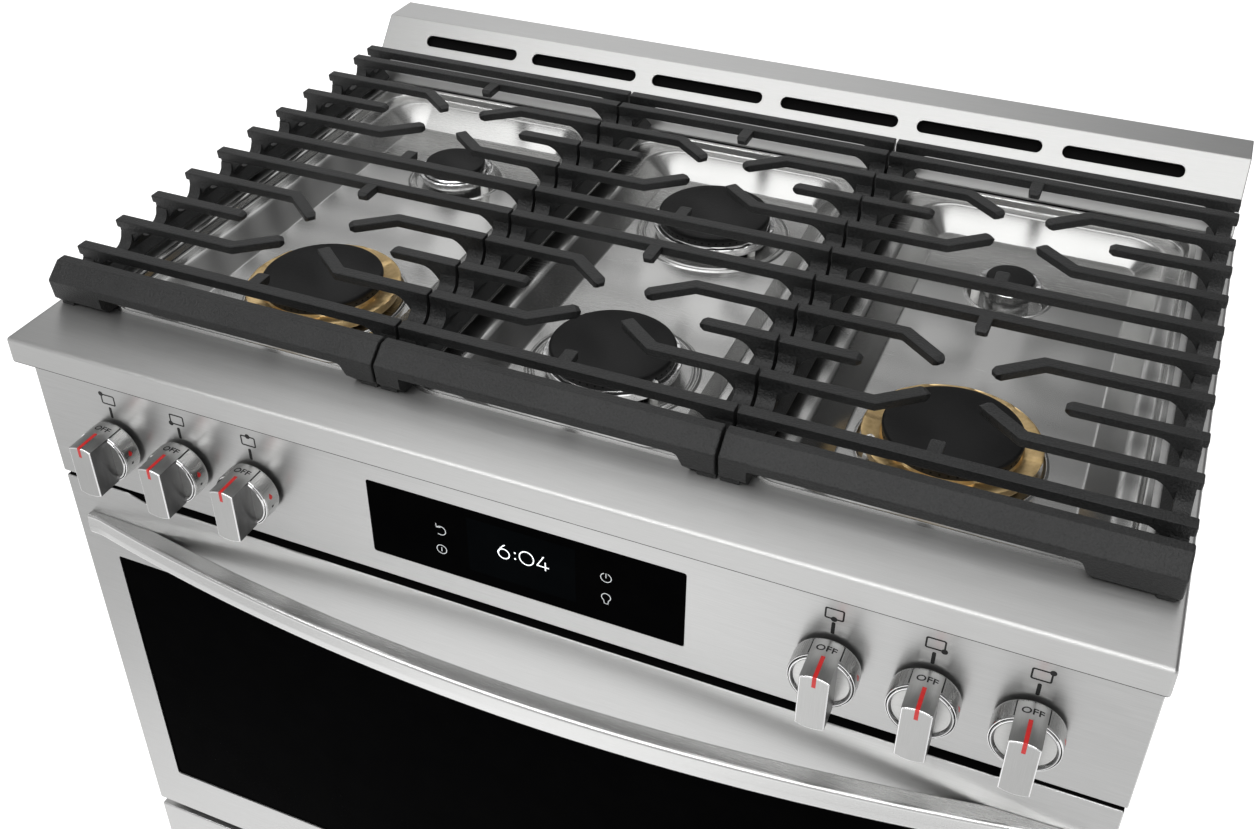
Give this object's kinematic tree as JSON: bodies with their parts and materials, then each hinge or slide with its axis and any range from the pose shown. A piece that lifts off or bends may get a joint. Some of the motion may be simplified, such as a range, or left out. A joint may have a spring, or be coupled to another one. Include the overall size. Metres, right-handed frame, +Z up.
{
  "type": "freestanding gas range",
  "caption": "Freestanding gas range: sealed burners under cast-iron grates, knobs that push and turn, a drop-down oven door with a bowed handle, and a storage drawer.",
  "frame": {"origin": "on the floor, under the middle of the overall box", "axes": "+Z up, -Y out of the oven door towards the user, +X to the user's right"},
  "size_m": [0.914, 0.6956, 0.9698],
  "materials": {
    "stainless": "brushed satin stainless steel, fine horizontal grain",
    "handle_satin": "satin bar with a bright ridge",
    "knob_steel": "satin stainless with a bright bezel",
    "enamel": "dark porcelain enamel with a fine light fleck",
    "galvanised": "aluminised steel, dull",
    "black_steel": "satin black paint",
    "cast_iron": "matte charcoal enamelled cast iron",
    "cap_enamel": "satin black enamel",
    "burner_brass": "machined brass, lightly heat toned",
    "burner_aluminium": "polished cast aluminium",
    "aluminium": "mill finish",
    "black_glass": "black ceramic-printed tempered glass, polished",
    "clear_glass": "tempered glass with a dark print border",
    "lens_glass": "frosted lamp lens",
    "rack_chrome": "bright plated wire",
    "gasket_braid": "braided glass fibre",
    "black_plastic": "moulded bush"
  },
  "bodies": {
    "cabinet": {"left_side_panel": "stainless", "right_side_panel": "stainless", "back_panel": "galvanised", "base_pan": "black_steel", "leg_front_left": "black_steel", "leg_front_right": "black_steel", "leg_rear_left": "black_steel", "leg_rear_right": "black_steel", "oven_liner": "enamel", "door_gasket": "gasket_braid", "bake_burner": "galvanised", "broil_burner": "galvanised", "fan_cover": "enamel", "oven_lamp": "lens_glass", "cooktop": "stainless", "backguard": "stainless", "control_panel": "stainless", "display_glass": "black_glass", "vent_trim": "black_steel", "gas_manifold": "aluminium", "cord_gland": "black_plastic", "burner_head_left_front": "burner_brass", "burner_head_left_rear": "burner_aluminium", "burner_head_center_front": "burner_aluminium", "burner_head_center_rear": "burner_aluminium", "burner_head_right_front": "burner_brass", "burner_head_right_rear": "burner_aluminium", "burner_cap_left_front": "cap_enamel", "burner_cap_left_rear": "cap_enamel", "burner_cap_center_front": "cap_enamel", "burner_cap_center_rear": "cap_enamel", "burner_cap_right_front": "cap_enamel", "burner_cap_right_rear": "cap_enamel", "hinge_left": "galvanised", "hinge_right": "galvanised"},
    "oven_door": {"door_skin": "stainless", "door_glass": "black_glass", "door_inner_panel": "enamel", "door_inner_glass": "clear_glass", "door_handle": "handle_satin"},
    "storage_drawer": {"drawer_front": "stainless", "drawer_box": "galvanised"},
    "rack_upper": {"upper_rack": "rack_chrome"},
    "rack_lower": {"lower_rack": "rack_chrome"},
    "convection_fan": {"fan_wheel": "aluminium"},
    "grate_left": {"grate_left": "cast_iron"},
    "grate_center": {"grate_center": "cast_iron"},
    "grate_right": {"grate_right": "cast_iron"},
    "stem_left_outer": {"valve_stem_left_outer": "aluminium"},
    "knob_left_outer": {"knob_left_outer": "knob_steel"},
    "stem_left_middle": {"valve_stem_left_middle": "aluminium"},
    "knob_left_middle": {"knob_left_middle": "knob_steel"},
    "stem_left_inner": {"valve_stem_left_inner": "aluminium"},
    "knob_left_inner": {"knob_left_inner": "knob_steel"},
    "stem_right_inner": {"valve_stem_right_inner": "aluminium"},
    "knob_right_inner": {"knob_right_inner": "knob_steel"},
    "stem_right_middle": {"valve_stem_right_middle": "aluminium"},
    "knob_right_middle": {"knob_right_middle": "knob_steel"},
    "stem_right_outer": {"valve_stem_right_outer": "aluminium"},
    "knob_right_outer": {"knob_right_outer": "knob_steel"}
  },
  "joints": [
    {"name": "door_hinge", "type": "hinge", "parent": "cabinet", "child": "oven_door", "pos_m": [0, -0.2748, 0.324], "axis": [1, 0, 0], "range_deg": [0, 90], "stiffness_Nm_per_rad": 18, "springref_deg": -17.19},
    {"name": "drawer_slide", "type": "slide", "parent": "cabinet", "child": "storage_drawer", "axis": [0, -1, 0], "range_m": [0, 0.345]},
    {"name": "upper_rack_slide", "type": "slide", "parent": "cabinet", "child": "rack_upper", "axis": [0, -1, 0], "range_m": [0, 0.018]},
    {"name": "lower_rack_slide", "type": "slide", "parent": "cabinet", "child": "rack_lower", "axis": [0, -1, 0], "range_m": [0, 0.018]},
    {"name": "fan_spin", "type": "hinge", "parent": "cabinet", "child": "convection_fan", "pos_m": [0, 0.1958, 0.555], "axis": [0, -1, 0], "continuous": true},
    {"name": "grate_left_lift", "type": "slide", "parent": "cabinet", "child": "grate_left", "axis": [0, 0, 1], "range_m": [0, 0.06]},
    {"name": "grate_center_lift", "type": "slide", "parent": "cabinet", "child": "grate_center", "axis": [0, 0, 1], "range_m": [0, 0.06]},
    {"name": "grate_right_lift", "type": "slide", "parent": "cabinet", "child": "grate_right", "axis": [0, 0, 1], "range_m": [0, 0.06]},
    {"name": "push_left_outer", "type": "slide", "parent": "cabinet", "child": "stem_left_outer", "axis": [0, 1, 0], "range_m": [0, 0.003], "stiffness_N_per_m": 900, "springref_m": -0.002},
    {"name": "turn_left_outer", "type": "hinge", "parent": "stem_left_outer", "child": "knob_left_outer", "pos_m": [-0.382, -0.3142, 0.8135], "axis": [0, -1, 0], "range_deg": [0, 240]},
    {"name": "push_left_middle", "type": "slide", "parent": "cabinet", "child": "stem_left_middle", "axis": [0, 1, 0], "range_m": [0, 0.003], "stiffness_N_per_m": 900, "springref_m": -0.002},
    {"name": "turn_left_middle", "type": "hinge", "parent": "stem_left_middle", "child": "knob_left_middle", "pos_m": [-0.312, -0.3142, 0.8135], "axis": [0, -1, 0], "range_deg": [0, 240]},
    {"name": "push_left_inner", "type": "slide", "parent": "cabinet", "child": "stem_left_inner", "axis": [0, 1, 0], "range_m": [0, 0.003], "stiffness_N_per_m": 900, "springref_m": -0.002},
    {"name": "turn_left_inner", "type": "hinge", "parent": "stem_left_inner", "child": "knob_left_inner", "pos_m": [-0.242, -0.3142, 0.8135], "axis": [0, -1, 0], "range_deg": [0, 240]},
    {"name": "push_right_inner", "type": "slide", "parent": "cabinet", "child": "stem_right_inner", "axis": [0, 1, 0], "range_m": [0, 0.003], "stiffness_N_per_m": 900, "springref_m": -0.002},
    {"name": "turn_right_inner", "type": "hinge", "parent": "stem_right_inner", "child": "knob_right_inner", "pos_m": [0.242, -0.3142, 0.8135], "axis": [0, -1, 0], "range_deg": [0, 240]},
    {"name": "push_right_middle", "type": "slide", "parent": "cabinet", "child": "stem_right_middle", "axis": [0, 1, 0], "range_m": [0, 0.003], "stiffness_N_per_m": 900, "springref_m": -0.002},
    {"name": "turn_right_middle", "type": "hinge", "parent": "stem_right_middle", "child": "knob_right_middle", "pos_m": [0.312, -0.3142, 0.8135], "axis": [0, -1, 0], "range_deg": [0, 240]},
    {"name": "push_right_outer", "type": "slide", "parent": "cabinet", "child": "stem_right_outer", "axis": [0, 1, 0], "range_m": [0, 0.003], "stiffness_N_per_m": 900, "springref_m": -0.002},
    {"name": "turn_right_outer", "type": "hinge", "parent": "stem_right_outer", "child": "knob_right_outer", "pos_m": [0.382, -0.3142, 0.8135], "axis": [0, -1, 0], "range_deg": [0, 240]}
  ]
}
